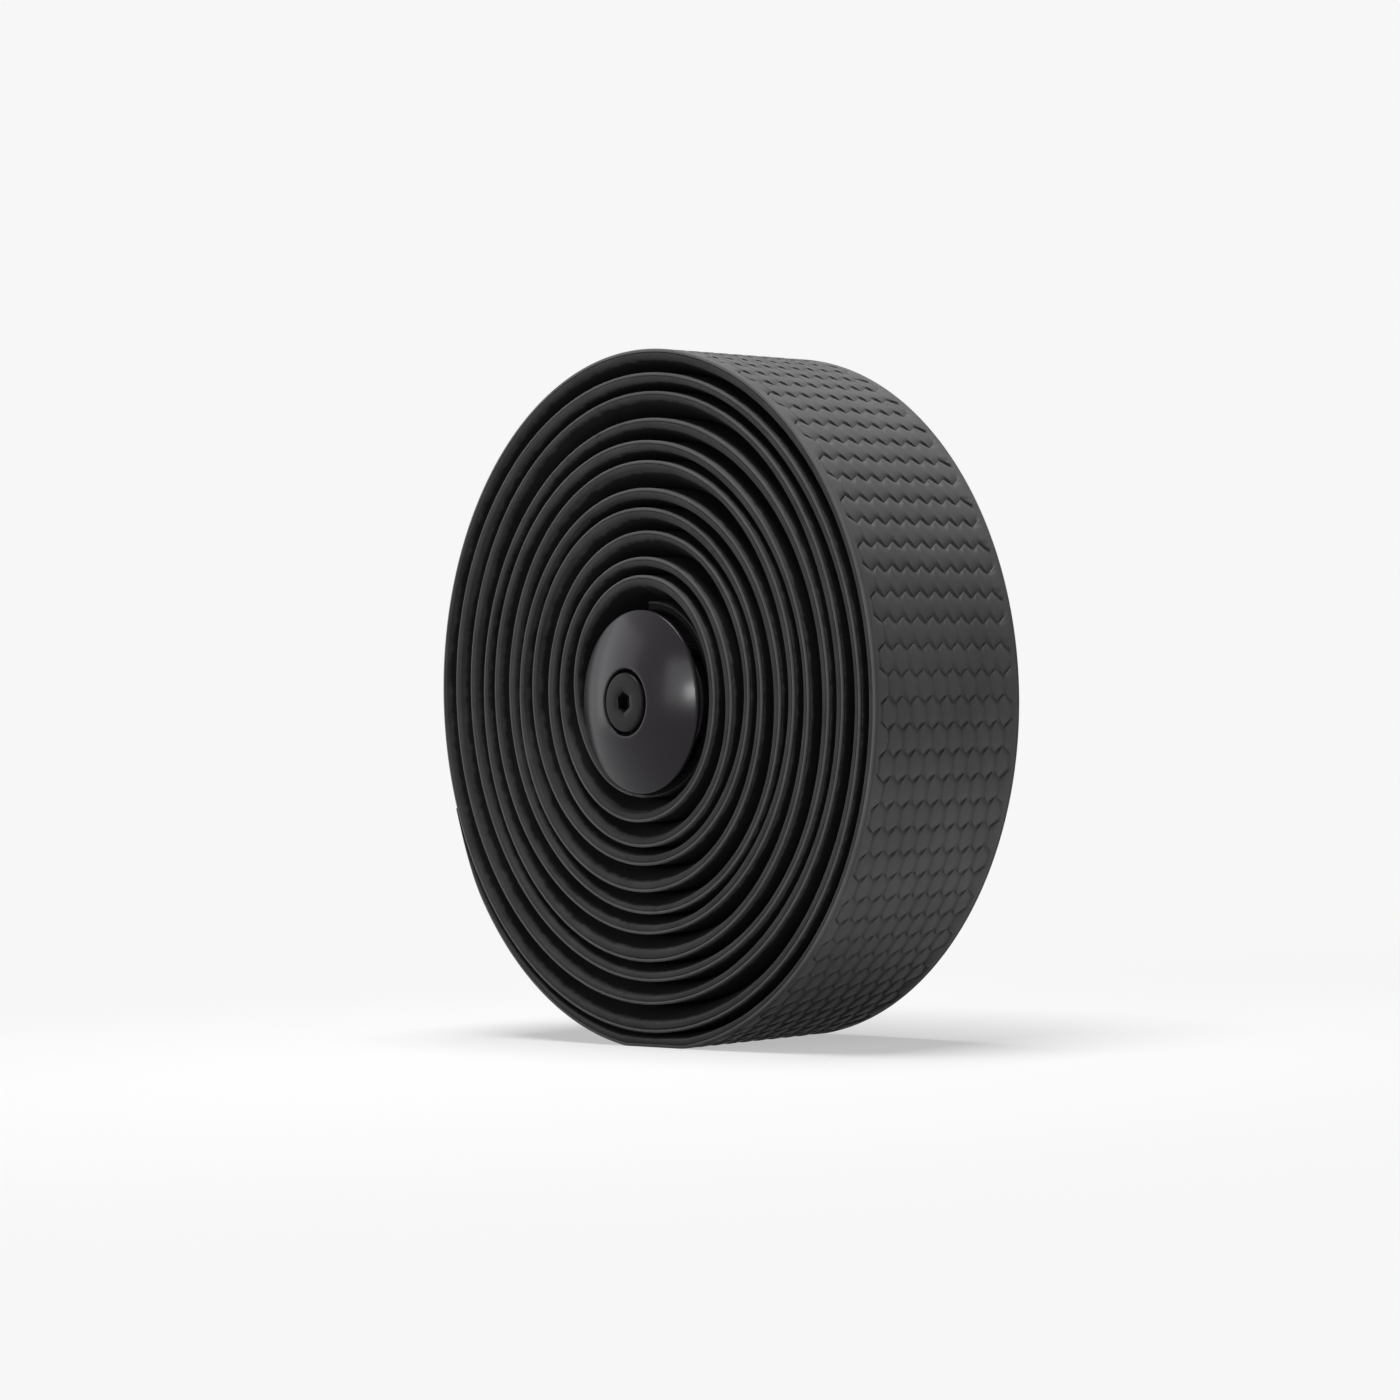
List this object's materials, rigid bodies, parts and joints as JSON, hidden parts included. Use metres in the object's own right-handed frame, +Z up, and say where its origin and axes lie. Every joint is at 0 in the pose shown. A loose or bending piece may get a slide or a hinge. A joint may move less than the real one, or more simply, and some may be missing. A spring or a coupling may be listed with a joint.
{
  "type": "handlebar tape roll",
  "caption": "Spiral roll of thick embossed handlebar tape standing on its rim, with an expanding screw-type bar-end plug in its core.",
  "frame": {"origin": "middle of the small flat that the roll stands on, under the roll's axis and halfway across the tape's width", "axes": "+Z up, Y along the roll's axis with the bar-end plug facing -Y, +X to the right as seen from the plug's side"},
  "size_m": [0.1118, 0.0363, 0.1121],
  "materials": {
    "tape": "matt black polyurethane skin embossed with long hexagons, on black foam",
    "cap": "glossy black moulded plastic",
    "screw": "black oxide steel",
    "sleeve": "satin black nylon",
    "nut": "satin black nylon"
  },
  "bodies": {
    "roll": {"bar_tape": "tape", "plug_cap": "cap", "expander_sleeve": "sleeve"},
    "screw": {"plug_screw": "screw"},
    "wedge": {"wedge_nut": "nut"}
  },
  "joints": [
    {"name": "screw_turn", "type": "hinge", "parent": "roll", "child": "screw", "pos_m": [0.0014, -0.0193, 0.05539], "axis": [0, 1, 0], "range_deg": [0, 1441]},
    {"name": "wedge_slide", "type": "slide", "parent": "roll", "child": "wedge", "axis": [0, -1, 0], "range_m": [0, 0.0032]}
  ],
  "couplings": [
    {"joint": "screw_turn", "follows": "wedge_slide", "rad_per_m": 7854}
  ]
}
